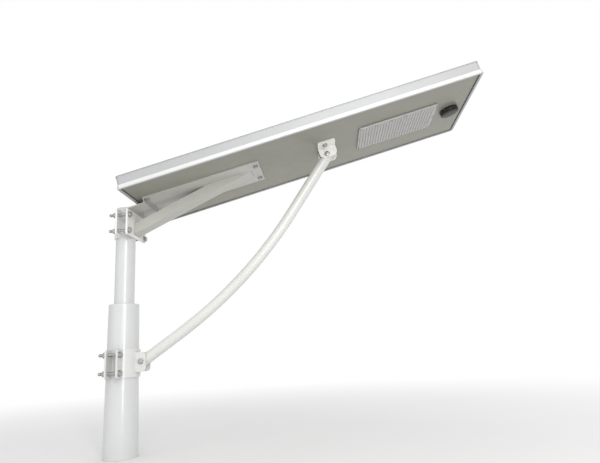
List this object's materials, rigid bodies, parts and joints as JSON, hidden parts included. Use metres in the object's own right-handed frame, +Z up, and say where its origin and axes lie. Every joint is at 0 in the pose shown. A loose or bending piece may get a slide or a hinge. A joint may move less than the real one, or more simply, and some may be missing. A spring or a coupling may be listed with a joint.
{
  "type": "solar street lamp",
  "caption": "Flat all-in-one solar lamp with lens and motion sensor, on a clamped bracket arm with a bent tube strut, at the top of a stepped round pole.",
  "frame": {"origin": "centre of the open lower end of the pole section", "axes": "+Z up the pole, +X the way the lamp reaches out, +Y across the lamp"},
  "size_m": [1.4919, 0.5, 1.3373],
  "materials": {
    "pole_grey": "gloss powder coat on galvanised steel",
    "bracket_white": "warm off-white powder coat",
    "fastener_steel": "dull plated steel",
    "frame_silver": "light grey satin anodised",
    "inner_aluminium": "mill finish",
    "underside_grey": "warm grey satin coated",
    "seal_black": "matte",
    "cover_glass": "clear toughened",
    "cell_blue": "glossy silicon",
    "film_clear": "clear film",
    "film_white": "matte film",
    "lens_clear": "moulded clear with a fine lens pattern",
    "board_white": "white solder mask on aluminium",
    "board_green": "solder mask",
    "led_yellow": "phosphor",
    "case_black": "matte moulded",
    "sensor_black": "glossy moulded",
    "sensor_grey": "smoked translucent",
    "cell_wrap": "heat-shrink sleeve"
  },
  "bodies": {
    "pole": {"pole_shaft": "pole_grey", "pole_reducer": "pole_grey", "pole_tenon": "pole_grey", "pole_cap": "pole_grey"},
    "head": {"clamp_plate": "bracket_white", "clamp_saddle": "bracket_white", "neck_plate": "bracket_white", "base_plate": "bracket_white", "bracket_arm": "bracket_white", "strut_tube": "bracket_white", "strut_bracket_near": "bracket_white", "strut_bracket_far": "bracket_white", "lower_clamp_front": "bracket_white", "lower_clamp_rear": "bracket_white", "clamp_bolts": "fastener_steel", "clamp_washers": "fastener_steel", "clamp_nuts": "fastener_steel", "strut_bushes": "fastener_steel", "pivot_bolts": "fastener_steel", "pivot_washers": "fastener_steel", "pivot_nuts": "fastener_steel", "flange_bolts": "fastener_steel", "flange_washers": "fastener_steel", "flange_nuts": "fastener_steel", "lower_clamp_bolts": "fastener_steel", "lower_clamp_washers": "fastener_steel", "lower_clamp_nuts": "fastener_steel", "lens_screws": "fastener_steel", "battery_straps": "fastener_steel", "rail_near": "frame_silver", "rail_far": "frame_silver", "rail_inner_end": "frame_silver", "rail_outer_end": "frame_silver", "corner_blocks": "frame_silver", "corner_keys": "inner_aluminium", "cross_members": "inner_aluminium", "heat_spreader": "inner_aluminium", "battery_tray": "inner_aluminium", "underside_sheet": "underside_grey", "sheet_gasket": "seal_black", "lens_gasket": "seal_black", "solar_glass": "cover_glass", "solar_cells": "cell_blue", "encapsulant": "film_clear", "solar_backsheet": "film_white", "lens_plate": "lens_clear", "led_board": "board_white", "sensor_board": "board_green", "controller_board": "board_green", "led_chips": "led_yellow", "junction_box": "case_black", "controller_case": "case_black", "controller_lid": "case_black", "sensor_nut": "case_black", "sensor_housing": "sensor_black", "sensor_window": "sensor_grey", "sensor_detector": "sensor_grey", "battery_cells": "cell_wrap"}
  },
  "joints": [
    {"name": "head_swivel", "type": "hinge", "parent": "pole", "child": "head", "pos_m": [0, 0, 0.6], "axis": [0, 0, 1], "continuous": true}
  ]
}
